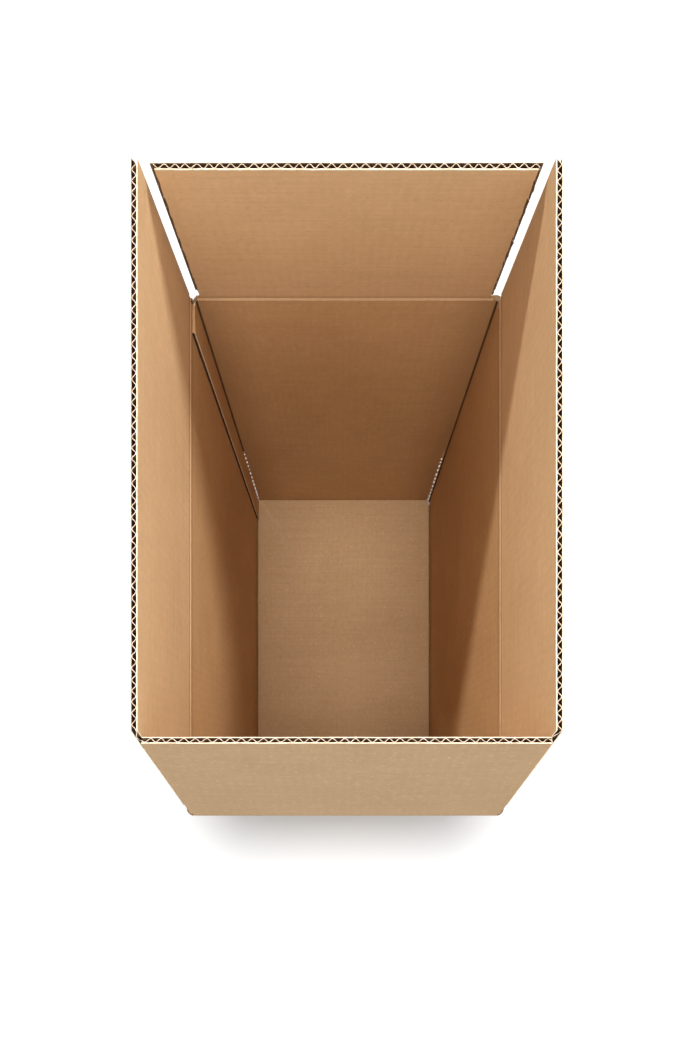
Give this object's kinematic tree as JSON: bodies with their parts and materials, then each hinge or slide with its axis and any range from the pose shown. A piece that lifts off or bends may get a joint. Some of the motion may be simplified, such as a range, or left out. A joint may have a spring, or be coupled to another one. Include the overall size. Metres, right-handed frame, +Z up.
{
  "type": "shipping box",
  "caption": "Tall open carton of plain brown corrugated board with hinged top flaps, folded bottom and a loose bottom pad, for packing goods.",
  "frame": {"origin": "on the ground under the middle of the box", "axes": "+Z up, +X to the right and +Y to the back when the flap with the deepest lean is in front"},
  "size_m": [0.311, 0.511, 0.6324],
  "materials": {
    "wall_board": "matt brown kraft liner",
    "pad_board": "matt brown kraft liner",
    "flap_board": "matt brown kraft liner with bare flute edges"
  },
  "bodies": {
    "carton": {"carton_body": "wall_board", "bottom_pad": "pad_board"},
    "front": {"front_flap": "flap_board"},
    "back": {"back_flap": "flap_board"},
    "left": {"left_flap": "flap_board"},
    "right": {"right_flap": "flap_board"}
  },
  "joints": [
    {"name": "front_crease", "type": "hinge", "parent": "carton", "child": "front", "pos_m": [0, -0.25275, 0.4741], "axis": [1, 0, 0], "range_deg": [-66.5, 143.5]},
    {"name": "back_crease", "type": "hinge", "parent": "carton", "child": "back", "pos_m": [0, 0.25275, 0.4741], "axis": [-1, 0, 0], "range_deg": [-83.5, 126.5]},
    {"name": "left_crease", "type": "hinge", "parent": "carton", "child": "left", "pos_m": [-0.15275, 0, 0.4801], "axis": [0, -1, 0], "range_deg": [-90, 120]},
    {"name": "right_crease", "type": "hinge", "parent": "carton", "child": "right", "pos_m": [0.15275, 0, 0.4801], "axis": [0, 1, 0], "range_deg": [-90, 120]}
  ]
}
